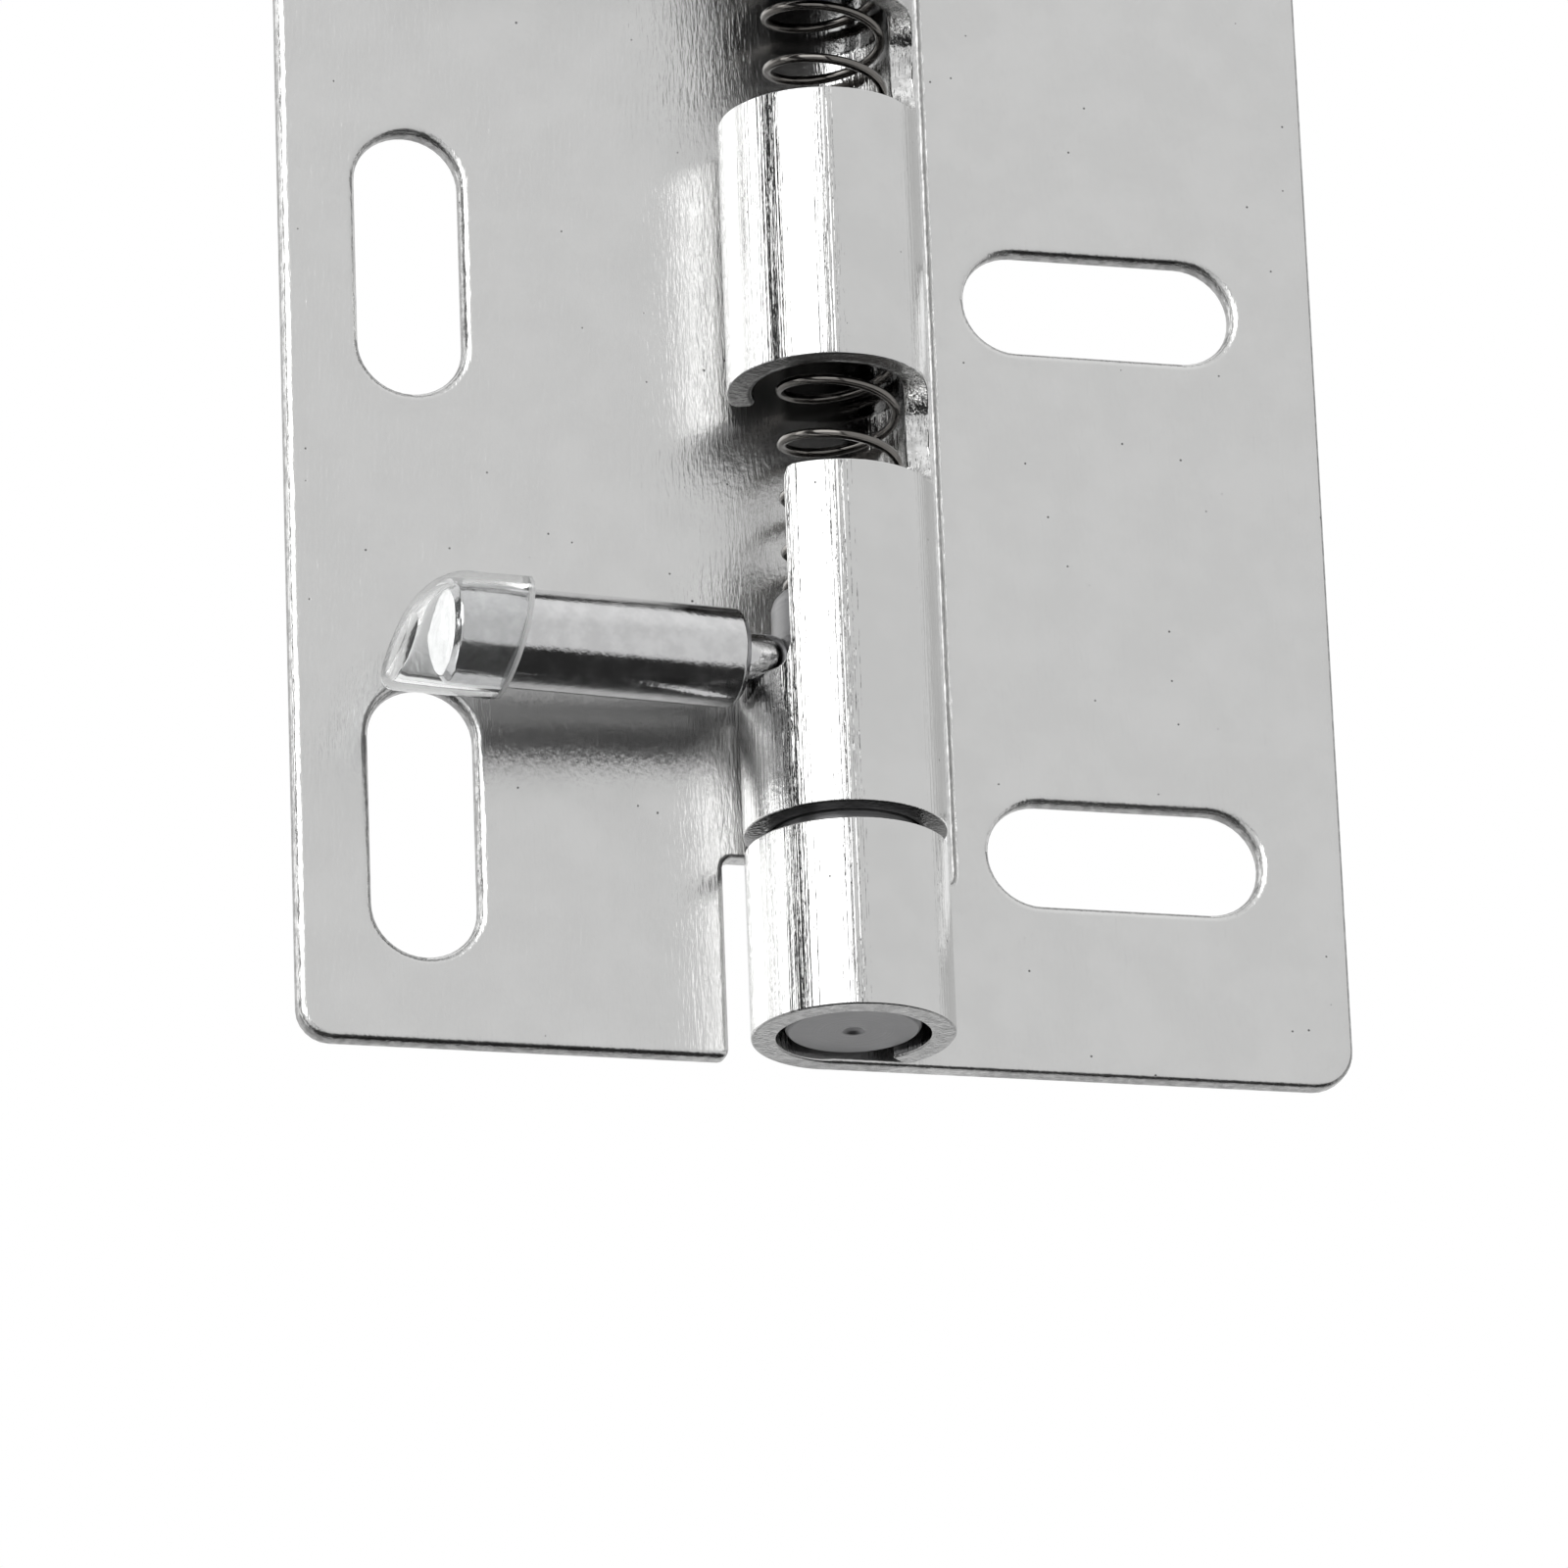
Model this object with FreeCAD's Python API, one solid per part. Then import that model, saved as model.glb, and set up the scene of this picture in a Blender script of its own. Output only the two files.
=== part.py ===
import FreeCAD, Part
import math
import os

Vector = FreeCAD.Vector

# Driving sizes in millimetres and degrees. The pin axis is Z, the leaves lie flat behind it.
hinge_length = 100.0
left_leaf_width = 32.5
right_leaf_width = 32.5
sheet_thickness = 1.5
barrel_bore = 9.2
barrel_length = 74.6
knuckle_gap = 1.0
left_notch_clearance = 0.3
right_notch_clearance = 1.8
left_corner_radius = 2.0
right_corner_radius = 2.5
notch_corner_radius = 0.6

slot_width = 6.5
slot_length = 17.0
slot_pitch = 36.0
left_slot_offset = 24.6
right_slot_offset = 18.7

middle_knuckle_length = 17.5
window_height = 6.75
window_corner_radius = 3.3
window_wall_lead = 5.0
stud_slot_run = 12.75
stud_slot_lead = 46.5
stud_slot_corner_radius = 1.2
tab_corner_radius = 0.8
lip_past_side = 30.0
lip_bulge = 0.55
knuckle_lip_gap = 0.3

guide_clearance = 0.08
nose_recess = 0.4
nose_step = 0.47
nose_taper = 2.0
nose_chamfer = 0.2
centre_mark_diameter = 1.4
centre_mark_depth = 0.5
neck_step = 0.57
neck_below_stud = 3.2
head_above_stud = 4.5
head_taper = 1.4
head_step = 0.7

stud_diameter = 3.2
stud_round = 1.3
tenon_diameter = 2.2
tenon_depth = 2.6
tenon_fit_clearance = 0.05
stop_clearance = 0.05
handle_diameter = 6.0
handle_length = 18.6
handle_standoff = 0.3
handle_chamfer = 0.4

cap_wall = 0.7
cap_fit_clearance = 0.04
cap_cover = 4.5
cap_end_room = 0.15
cap_slant = 24.0
cap_mouth_slant = 12.0

spring_diameter = 7.6
spring_wire = 0.6
spring_pitch = 3.45
spring_side_offset = 0.6
spring_middle_angle = 20.0
spring_seat_clearance = 0.02
closed_rise = 0.68
coil_steps = 16
wire_sides = 6

# Sizes that follow from the driving ones.
bore_radius = barrel_bore / 2.0
roll_radius = bore_radius + sheet_thickness
half_length = hinge_length / 2.0
half_barrel = barrel_length / 2.0
knuckle_start = half_barrel + knuckle_gap
left_notch_x = roll_radius + left_notch_clearance
right_notch_x = roll_radius + right_notch_clearance
window_start = middle_knuckle_length / 2.0
window_end = window_start + window_height
stud_slot_end = window_end + stud_slot_run
stud_height = stud_slot_end - stop_clearance - stud_diameter / 2.0
guide_radius = bore_radius - guide_clearance
nose_radius = guide_radius - nose_step
neck_radius = guide_radius - neck_step
bolt_end = half_length - nose_recess
bolt_top = stud_height - head_above_stud
neck_start = stud_height + neck_below_stud
handle_start = roll_radius + handle_standoff
handle_end = handle_start + handle_length
lip_angle = -180.0 - lip_past_side
stud_slot_angle = -180.0 + stud_slot_lead
cap_inside_radius = handle_diameter / 2.0 + cap_fit_clearance
cap_outside_radius = cap_inside_radius + cap_wall
cap_slope = math.tan(math.radians(cap_slant))
cap_inside_end = handle_end + cap_end_room
cap_outside_end = cap_inside_end + cap_wall / math.cos(math.radians(cap_slant)) - cap_wall * cap_slope
cap_reach = cap_outside_end + cap_outside_radius * cap_slope
handle_turn = math.degrees(math.asin((roll_radius - cap_outside_radius) / cap_reach))
cut_margin = 1.0
cut_turn_margin = 12.0


def polar(radius, angle, height=0.0):
    turn = math.radians(angle)
    return Vector(radius * math.cos(turn), radius * math.sin(turn), height)


def arc_edge(radius, first, last):
    middle = 0.5 * (first + last)
    return Part.Arc(polar(radius, first), polar(radius, middle), polar(radius, last)).toShape()


def rolled_strip(flat_edge, lip_angle, bulge, bottom, top):
    """Sheet that runs flat behind the bore and then rolls round it, clockwise seen from above."""
    lip_inside = polar(bore_radius, lip_angle)
    lip_outside = polar(roll_radius, lip_angle)
    edges = [Part.makeLine(Vector(flat_edge, bore_radius, 0), Vector(0, bore_radius, 0))]
    edges.append(arc_edge(bore_radius, 90.0, lip_angle))
    if bulge > 0:
        tangent = polar(1.0, lip_angle - 90.0)
        crown = (lip_inside + lip_outside) * 0.5 + tangent * bulge
        edges.append(Part.Arc(lip_inside, crown, lip_outside).toShape())
    else:
        edges.append(Part.makeLine(lip_inside, lip_outside))
    edges.append(arc_edge(roll_radius, lip_angle, 90.0))
    edges.append(Part.makeLine(Vector(0, roll_radius, 0), Vector(flat_edge, roll_radius, 0)))
    edges.append(Part.makeLine(Vector(flat_edge, roll_radius, 0), Vector(flat_edge, bore_radius, 0)))
    face = Part.Face(Part.Wire(Part.__sortEdges__(edges)))
    strip = face.extrude(Vector(0, 0, top - bottom))
    strip.translate(Vector(0, 0, bottom))
    return strip


def upright_edges(shape, x_place):
    found = []
    for edge in shape.Edges:
        ends = [vertex.Point for vertex in edge.Vertexes]
        if len(ends) == 2 and all(abs(point.x - x_place) < 1e-4 for point in ends):
            if abs(ends[0].z - ends[1].z) < 1e-4 and abs(ends[0].y - ends[1].y) > 0.5:
                found.append(edge)
    return found


def leaf_plate(inner_x, outer_x, corner_radius):
    plate = Part.makeBox(abs(outer_x - inner_x), sheet_thickness, hinge_length)
    plate.translate(Vector(min(inner_x, outer_x), bore_radius, -half_length))
    return plate.makeFillet(corner_radius, upright_edges(plate, outer_x))


def slot_cutter(x_place, height, along):
    """Long hole with round ends through the sheet, lying along the given direction."""
    reach = along * ((slot_length - slot_width) / 2.0)
    side = along.cross(Vector(0, 1, 0)) * (slot_width / 2.0)
    centre = Vector(x_place, bore_radius - cut_margin, height)
    corners = [centre + reach + side, centre - reach + side, centre - reach - side, centre + reach - side]
    far_end = centre + along * (slot_length / 2.0)
    near_end = centre - along * (slot_length / 2.0)
    edges = [
        Part.makeLine(corners[0], corners[1]),
        Part.Arc(corners[1], near_end, corners[2]).toShape(),
        Part.makeLine(corners[2], corners[3]),
        Part.Arc(corners[3], far_end, corners[0]).toShape(),
    ]
    face = Part.Face(Part.Wire(edges))
    return face.extrude(Vector(0, sheet_thickness + 2.0 * cut_margin, 0))


def radial_edges(shape, angle, heights):
    """Edges that run straight out from the pin axis at the given angle and heights."""
    direction = polar(1.0, angle)
    found = []
    for edge in shape.Edges:
        ends = [vertex.Point for vertex in edge.Vertexes]
        if len(ends) != 2 or abs(ends[0].z - ends[1].z) > 1e-4:
            continue
        level = any(abs(ends[0].z - height) < 1e-4 for height in heights)
        flat_ends = [Vector(point.x, point.y, 0) for point in ends]
        if level and all(point.dot(direction) > point.Length - 1e-5 for point in flat_ends):
            found.append(edge)
    return found


def wall_cutter(first, last, low, high, corner_radius, rounded_heights):
    """Part of a thick ring that takes the rolled wall away, with rounded corners at its first angle."""
    inner = bore_radius - cut_margin
    outer = roll_radius + cut_margin
    edges = [
        arc_edge(inner, first, last),
        Part.makeLine(polar(inner, last), polar(outer, last)),
        arc_edge(outer, last, first),
        Part.makeLine(polar(outer, first), polar(inner, first)),
    ]
    cutter = Part.Face(Part.Wire(edges)).extrude(Vector(0, 0, high - low))
    cutter.translate(Vector(0, 0, low))
    return cutter.makeFillet(corner_radius, radial_edges(cutter, first, rounded_heights))


def notch_corner_cut(shape, x_place, heights):
    corners = []
    for edge in upright_edges(shape, x_place):
        if any(abs(abs(edge.Vertexes[0].Point.z) - height) < 1e-4 for height in heights):
            corners.append(edge)
    return shape.makeFillet(notch_corner_radius, corners)


def mirrored_up(shape):
    return shape.mirror(Vector(0, 0, 0), Vector(0, 0, 1))


def make_left_leaf():
    plate = leaf_plate(-left_notch_x, -left_leaf_width, left_corner_radius)
    barrel = rolled_strip(-left_notch_x, lip_angle, lip_bulge, -half_barrel, half_barrel)
    leaf = plate.fuse(barrel).removeSplitter()
    leaf = notch_corner_cut(leaf, -left_notch_x, [half_barrel])
    past_lip = lip_angle - cut_turn_margin
    window_levels = [-window_end, -window_start]
    window = wall_cutter(-window_wall_lead, past_lip, *window_levels, window_corner_radius, window_levels)
    slot_levels = [-stud_slot_end, -window_start - cut_margin]
    slot_corner = slot_levels[:1]
    stud_slot = wall_cutter(stud_slot_angle, past_lip, *slot_levels, stud_slot_corner_radius, slot_corner)
    opening = window.fuse(stud_slot)
    leaf = leaf.cut(opening).cut(mirrored_up(opening))
    tab_corners = radial_edges(leaf, stud_slot_angle, [-window_end, window_end])
    leaf = leaf.makeFillet(tab_corner_radius, tab_corners)
    for row in (-1, 0, 1):
        leaf = leaf.cut(slot_cutter(-left_slot_offset, row * slot_pitch, Vector(0, 0, 1)))
    return leaf


def make_right_leaf():
    plate = leaf_plate(right_notch_x, right_leaf_width, right_corner_radius)
    knuckle_lip_angle = -180.0 - math.degrees(math.asin((bore_radius - knuckle_lip_gap) / roll_radius))
    knuckle = rolled_strip(-right_notch_x, knuckle_lip_angle, 0.0, -half_length, -knuckle_start)
    knuckle = knuckle.mirror(Vector(0, 0, 0), Vector(1, 0, 0))
    leaf = plate.fuse([knuckle, mirrored_up(knuckle)]).removeSplitter()
    leaf = notch_corner_cut(leaf, right_notch_x, [knuckle_start])
    for row in (-1, 0, 1):
        leaf = leaf.cut(slot_cutter(right_slot_offset, row * slot_pitch, Vector(1, 0, 0)))
    return leaf


def turned(points, axis_point, axis):
    wire = Part.makePolygon(points + [points[0]])
    return Part.Face(wire).revolve(axis_point, axis, 360)


def at_stud(shape):
    """Turns a piece made along -X till the cap is level with the barrel's front, at the lower stud's height."""
    shape.rotate(Vector(0, 0, 0), Vector(0, 0, 1), handle_turn)
    shape.translate(Vector(0, 0, -stud_height))
    return shape


def make_lower_bolt():
    profile = [
        Vector(0, 0, -bolt_end + centre_mark_depth),
        Vector(centre_mark_diameter / 2.0, 0, -bolt_end),
        Vector(nose_radius - nose_chamfer, 0, -bolt_end),
        Vector(nose_radius, 0, -bolt_end + nose_chamfer),
        Vector(guide_radius, 0, -bolt_end + nose_taper),
        Vector(guide_radius, 0, -neck_start - neck_step),
        Vector(neck_radius, 0, -neck_start),
        Vector(neck_radius, 0, -bolt_top - head_taper),
        Vector(neck_radius - head_step, 0, -bolt_top),
        Vector(0, 0, -bolt_top),
    ]
    bolt = turned(profile, Vector(0, 0, 0), Vector(0, 0, 1))
    hole_radius = tenon_diameter / 2.0 + tenon_fit_clearance
    hole_bottom = neck_radius - tenon_depth - tenon_fit_clearance
    hole = Part.makeCylinder(hole_radius, neck_radius, Vector(-hole_bottom, 0, 0), Vector(-1, 0, 0))
    return bolt.cut(at_stud(hole))


def make_lower_handle():
    stud_radius = stud_diameter / 2.0
    tenon_radius = tenon_diameter / 2.0
    round_height = stud_radius - tenon_radius
    body_radius = handle_diameter / 2.0
    tenon_tip = neck_radius - tenon_depth
    profile = [
        Vector(-tenon_tip, 0, 0),
        Vector(-tenon_tip, 0, tenon_radius),
        Vector(-neck_radius, 0, tenon_radius),
        Vector(-neck_radius - 0.3 * stud_round, 0, tenon_radius + 0.7 * round_height),
        Vector(-neck_radius - stud_round, 0, stud_radius),
        Vector(-handle_start, 0, stud_radius),
        Vector(-handle_start, 0, body_radius - handle_chamfer),
        Vector(-handle_start - handle_chamfer, 0, body_radius),
        Vector(-handle_end + handle_chamfer, 0, body_radius),
        Vector(-handle_end, 0, body_radius - handle_chamfer),
        Vector(-handle_end, 0, 0),
    ]
    return at_stud(turned(profile, Vector(0, 0, 0), Vector(1, 0, 0)))


def slanted_plug(radius, first, end_at_top):
    """Round plug along -X from first on its axis, with both its ends sloping away below the top."""
    reach = 2.0 * radius * cap_slope
    mouth_reach = radius * math.tan(math.radians(cap_mouth_slant))
    side = -radius - cut_margin
    corners = [
        Vector(-first + mouth_reach, side, radius),
        Vector(-end_at_top, side, radius),
        Vector(-end_at_top - reach, side, -radius),
        Vector(-first - mouth_reach, side, -radius),
    ]
    outline = Part.Face(Part.makePolygon(corners + [corners[0]]))
    prism = outline.extrude(Vector(0, -2.0 * side, 0))
    rod = Part.makeCylinder(radius, end_at_top + reach, Vector(0, 0, 0), Vector(-1, 0, 0))
    return rod.common(prism)


def make_lower_grip_cap():
    rim = handle_end - cap_cover
    body = slanted_plug(cap_outside_radius, rim, cap_outside_end)
    return at_stud(body.cut(slanted_plug(cap_inside_radius, rim - cut_margin, cap_inside_end)))


def make_spring():
    """Left-hand wire coil with closed ends between the two bolts, lying to the right in the bore."""
    coil_radius = (spring_diameter - spring_wire) / 2.0
    half_span = bolt_top - spring_seat_clearance - spring_wire / 2.0
    open_turns = max(2, round((2.0 * half_span - 2.0 * closed_rise) / spring_pitch))
    open_rise = (2.0 * half_span - 2.0 * closed_rise) / open_turns
    turns = open_turns + 2
    sections = []
    for step in range(turns * coil_steps + 1):
        turn = step / coil_steps
        height = closed_rise * min(turn, 1.0) + closed_rise * max(turn - turns + 1.0, 0.0)
        height += open_rise * min(max(turn - 1.0, 0.0), open_turns)
        corners = []
        for side in range(wire_sides):
            spoke = polar(spring_wire / 2.0, 360.0 * side / wire_sides)
            angle = spring_middle_angle - 360.0 * (turn - turns / 2.0)
            corners.append(polar(coil_radius + spoke.x, angle, height - half_span + spoke.y))
        sections.append(Part.makePolygon(corners + [corners[0]]))
    spring = Part.makeLoft(sections, True, True)
    spring.translate(Vector(spring_side_offset, 0, 0))
    return spring


def write_step(name, shape):
    if shape.ShapeType == "Compound" and len(shape.Solids) == 1:
        shape = shape.Solids[0]
    shape.exportStep("parts/" + name + ".step")


os.makedirs("parts", exist_ok=True)
lower_bolt = make_lower_bolt()
lower_handle = make_lower_handle()
lower_grip_cap = make_lower_grip_cap()
write_step("left_leaf", make_left_leaf())
write_step("right_leaf", make_right_leaf())
write_step("lower_bolt", lower_bolt)
write_step("upper_bolt", mirrored_up(lower_bolt))
write_step("lower_handle", lower_handle)
write_step("upper_handle", mirrored_up(lower_handle))
write_step("lower_grip_cap", lower_grip_cap)
write_step("upper_grip_cap", mirrored_up(lower_grip_cap))
write_step("bolt_spring", make_spring())
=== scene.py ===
import bpy
import bmesh
import math
from mathutils import Matrix, Vector


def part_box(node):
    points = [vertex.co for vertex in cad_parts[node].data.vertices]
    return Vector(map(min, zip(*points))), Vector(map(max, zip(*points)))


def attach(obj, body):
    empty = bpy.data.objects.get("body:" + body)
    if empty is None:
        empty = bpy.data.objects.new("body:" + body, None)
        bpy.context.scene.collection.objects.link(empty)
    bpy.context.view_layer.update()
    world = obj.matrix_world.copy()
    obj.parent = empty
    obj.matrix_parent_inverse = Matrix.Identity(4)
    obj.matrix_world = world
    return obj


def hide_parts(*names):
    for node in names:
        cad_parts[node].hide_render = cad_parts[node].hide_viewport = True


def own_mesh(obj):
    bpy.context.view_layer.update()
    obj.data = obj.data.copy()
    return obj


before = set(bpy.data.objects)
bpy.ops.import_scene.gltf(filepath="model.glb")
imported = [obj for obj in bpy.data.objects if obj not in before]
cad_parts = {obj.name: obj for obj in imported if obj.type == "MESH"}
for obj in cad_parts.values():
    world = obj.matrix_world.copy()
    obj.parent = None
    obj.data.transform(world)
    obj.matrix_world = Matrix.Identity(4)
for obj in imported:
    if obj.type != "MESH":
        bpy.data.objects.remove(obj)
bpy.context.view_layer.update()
print("frame loaded:", sorted(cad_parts))

mm = 0.001
near = 0.01 * mm    # closer than this counts as on the line

# places read from the frame, in metres
leftLow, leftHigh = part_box("left_leaf")
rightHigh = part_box("right_leaf")[1]
boltLow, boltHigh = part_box("lower_bolt")
handleLow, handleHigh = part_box("lower_handle")
capLow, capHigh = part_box("lower_grip_cap")
springLow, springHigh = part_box("bolt_spring")

rolledSheet = {
    "thickness": 1.5 * mm,
    "rollRadius": leftHigh.x,     # outside of the barrel
    "backFace": leftHigh.y,       # the leaves' mounting side
    "edgeRound": 0.58 * mm,       # roll-over left by the punch on the flat leaves
    "rollEdgeShare": 0.22,        # less of it on the barrel's cut edges
    "edgeStrip": 0.85 * mm,       # border of even faces that takes the rounding
    "edgeSegments": 5,
    "cutAngle": 50.0,             # edges sharper than this are cut ones
    "cornerStep": 0.33 * mm,
    "stepAngle": math.radians(3.0),
    "slotWidth": 6.5 * mm,
    "slotLength": 17.0 * mm,
    "slotPitch": 36.0 * mm,
}


def addPiece(name, mesh, body, node, material):
    piece = bpy.data.objects.new(name, mesh)
    bpy.context.scene.collection.objects.link(piece)
    piece.data.materials.append(material)
    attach(piece, body)
    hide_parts(node)
    return piece


def meshFrom(bm, name):
    mesh = bpy.data.meshes.new(name)
    bm.to_mesh(mesh)
    bm.free()
    for polygon in mesh.polygons:
        polygon.use_smooth = True
    return mesh


def roundEdges(piece, width, segments, limit=None):
    # rounds edges sharper than the limit, or those that carry a bevel weight
    bevel = piece.modifiers.new("edgeRound", "BEVEL")
    bevel.width = width
    bevel.segments = segments
    bevel.limit_method = "ANGLE" if limit else "WEIGHT"
    if limit:
        bevel.angle_limit = math.radians(limit)
    bevel.use_clamp_overlap = False
    bevel.harden_normals = True


# materials

def newMaterial(name):
    material = bpy.data.materials.new(name)
    material.use_nodes = True
    tree = material.node_tree
    return material, tree, tree.nodes["Principled BSDF"]


def addNode(tree, kind, inputs=None, **settings):
    node = tree.nodes.new(kind)
    for key, value in settings.items():
        setattr(node, key, value)
    for key, value in (inputs or {}).items():
        if isinstance(value, bpy.types.NodeSocket):
            tree.links.new(value, node.inputs[key])
        else:
            node.inputs[key].default_value = value
    return node


def mathNode(tree, operation, first, second=0.0, third=0.0):
    node = addNode(tree, "ShaderNodeMath", {0: first, 1: second, 2: third}, operation=operation)
    return node.outputs[0]


def spread(tree, value, low, high, outLow=0.0, outHigh=1.0):
    node = addNode(tree, "ShaderNodeMapRange", {
        "Value": value, "From Min": low, "From Max": high, "To Min": outLow, "To Max": outHigh,
    }, interpolation_type="SMOOTHSTEP")
    return node.outputs["Result"]


def stretched(tree, place, scale):
    return addNode(tree, "ShaderNodeMapping", {"Vector": place, "Scale": scale}).outputs[0]


def noise(tree, place, scale, detail=3.0, rough=0.55):
    node = addNode(tree, "ShaderNodeTexNoise", {
        "Vector": place, "Scale": scale, "Detail": detail, "Roughness": rough,
    })
    return node.outputs["Fac"]


def times(tree, *values):
    product = values[0]
    for value in values[1:]:
        product = mathNode(tree, "MULTIPLY", product, value)
    return product


def heaped(tree, *layers):
    # adds up layers, each given with its amount
    total = 0.0
    for layer, amount in layers:
        total = mathNode(tree, "MULTIPLY_ADD", layer, amount, total)
    return total


def inverse(tree, mask):
    return mathNode(tree, "SUBTRACT", 1.0, mask)


def blend(tree, mask, first, second):
    # first where the mask is 0, second where it is 1
    return mathNode(tree, "MULTIPLY_ADD", mask, mathNode(tree, "SUBTRACT", second, first), first)


def between(tree, value, low, high, ease):
    # 1 from low to high, easing to 0 on both sides
    return times(tree, spread(tree, value, low - ease, low), spread(tree, value, high + ease, high))


def scaled(tree, mask, share):
    return spread(tree, mask, 0.0, 1.0, 1.0, share)


def fromAxis(tree, first, second):
    return mathNode(tree, "SQRT", heaped(tree, (first, first), (second, second)))


def mixedTone(tree, factor, first, second):
    tone = addNode(tree, "ShaderNodeMix", {"Factor": factor}, data_type="RGBA")
    tone.inputs[6].default_value = first
    tone.inputs[7].default_value = second
    return tone.outputs[2]


plating = {
    "colour": (0.75, 0.75, 0.745, 1.0),
    "dullColour": (0.715, 0.715, 0.71, 1.0),
    "flatRough": (0.265, 0.225),             # rough varies between these
    "barrelRough": (0.05, 0.14),
    "barrelFront": (4.5 * mm, 3.8 * mm),     # the flats' finish gives way to the barrel's between these
    "cloudScale": 240.0,
    "grainScale": 2600.0,
    "mottleScale": 1500.0,
    "drawnStreaks": (5200.0, 5200.0, 30.0),  # streaks run along the pin axis
    "shortStreaks": (4200.0, 4200.0, 420.0),
    "wideStreaks": (700.0, 700.0, 5.0),
    "leafStreaks": (6000.0, 6000.0, 1000.0),
    "pitScale": 800.0,
    "pitSize": (0.085, 0.03),
    "pitFloor": 0.72,                        # higher leaves fewer pits
    "pitShare": 0.25,                        # shares are of the plating's colour
    "leafEdgeToneAndShade": (0.36, 0.56),             # sheared edges are speckled between two shares, darker on the leaf: raw steel and painted shade, paler beside the roll: painted highlight, and palest on it: painted highlight
    "notchEdgeHighlight": (0.55, 0.75),            # paler beside the roll
    "rollEdgeHighlight": (0.92, 1.28),             # and palest on it
    "speckle": (0.4, 0.62),
    "notchReach": (11.0 * mm, 10.5 * mm),    # distances from the pin axis, easing in from first to second
    "rollReach": (6.6 * mm, 6.3 * mm),
    "boreReach": (5.0 * mm, 4.7 * mm),
    "boreMouth": (49.2 * mm, 47.2 * mm),     # painted shade: the bores are dark, apart from their mouths and the windows
    "windowSpan": (9.0 * mm, 15.3 * mm, 0.3 * mm),
    "boreShare": 0.3,
    "gap": (37.3 * mm, 38.3 * mm, 0.3),      # from, to and share of painted shade: the narrow gaps beside the knuckles, the knuckles' outer ends and the middle knuckle's ends, away from the wall
    "end": (49.95 * mm, 50.1 * mm, 0.4),     # the knuckles' outer ends
    "under": (8.6 * mm, 8.8 * mm, 0.42),     # and the middle knuckle's ends, away from the wall
    "underWall": (4.6 * mm, 1.5 * mm),
    "ringEase": 0.06 * mm,
    "heights": {"grain": 1.3, "sheared": 1.2, "drawn": 3.2, "wide": 1.6, "shortOnBarrel": 1.0,
                "short": 0.7, "brushed": 2.9, "pit": -1.5},
    "bumpStrength": 0.35,
    "bumpDistance": 0.03 * mm,
}


def platingPaintedShade(tree, place, axes, pit):
    # share of the plating's colour that is left in pits, with painted shade on the cut edges, in the gaps, on the
    # knuckle ends and in the bores, and painted highlight on the cut edges by the roll
    reach = fromAxis(tree, axes[0], axes[1])
    away = mathNode(tree, "ABSOLUTE", axes[2])
    nearRoll = spread(tree, reach, *plating["notchReach"])
    onRoll = spread(tree, reach, *plating["rollReach"])
    sheared = addNode(tree, "ShaderNodeAttribute", attribute_name="sheared").outputs["Fac"]
    mottle = noise(tree, place, plating["mottleScale"], 3.0, 0.65)
    # cut faces: darker on the flat leaf, partly raw sheared steel and partly painted shade; paler beside and on
    # the roll, a painted highlight
    edgeShade = spread(tree, mottle, *plating["speckle"], *plating["leafEdgeToneAndShade"])
    for mask, shares in ((nearRoll, "notchEdgeHighlight"), (onRoll, "rollEdgeHighlight")):
        nearer = spread(tree, mottle, *plating["speckle"], *plating[shares])
        edgeShade = blend(tree, mask, edgeShade, nearer)
    # painted shade inside the bores, away from their mouths and the windows
    inBore = times(tree, spread(tree, reach, *plating["boreReach"]), spread(tree, away, *plating["boreMouth"]),
                   inverse(tree, between(tree, away, *plating["windowSpan"])))
    shades = [blend(tree, sheared, 1.0, edgeShade), scaled(tree, pit, plating["pitShare"]),
              scaled(tree, inBore, plating["boreShare"])]
    offWall = times(tree, sheared, spread(tree, axes[0], *plating["underWall"]))
    # painted shade in the gaps beside the knuckles, on the knuckles' ends and under the middle knuckle
    for ring, limits in (("gap", [onRoll]), ("end", [onRoll]), ("under", [onRoll, offWall])):
        low, high, share = plating[ring]
        mask = times(tree, between(tree, away, low, high, plating["ringEase"]), *limits)
        shades.append(scaled(tree, mask, share))
    return times(tree, *shades), sheared, inBore


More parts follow.
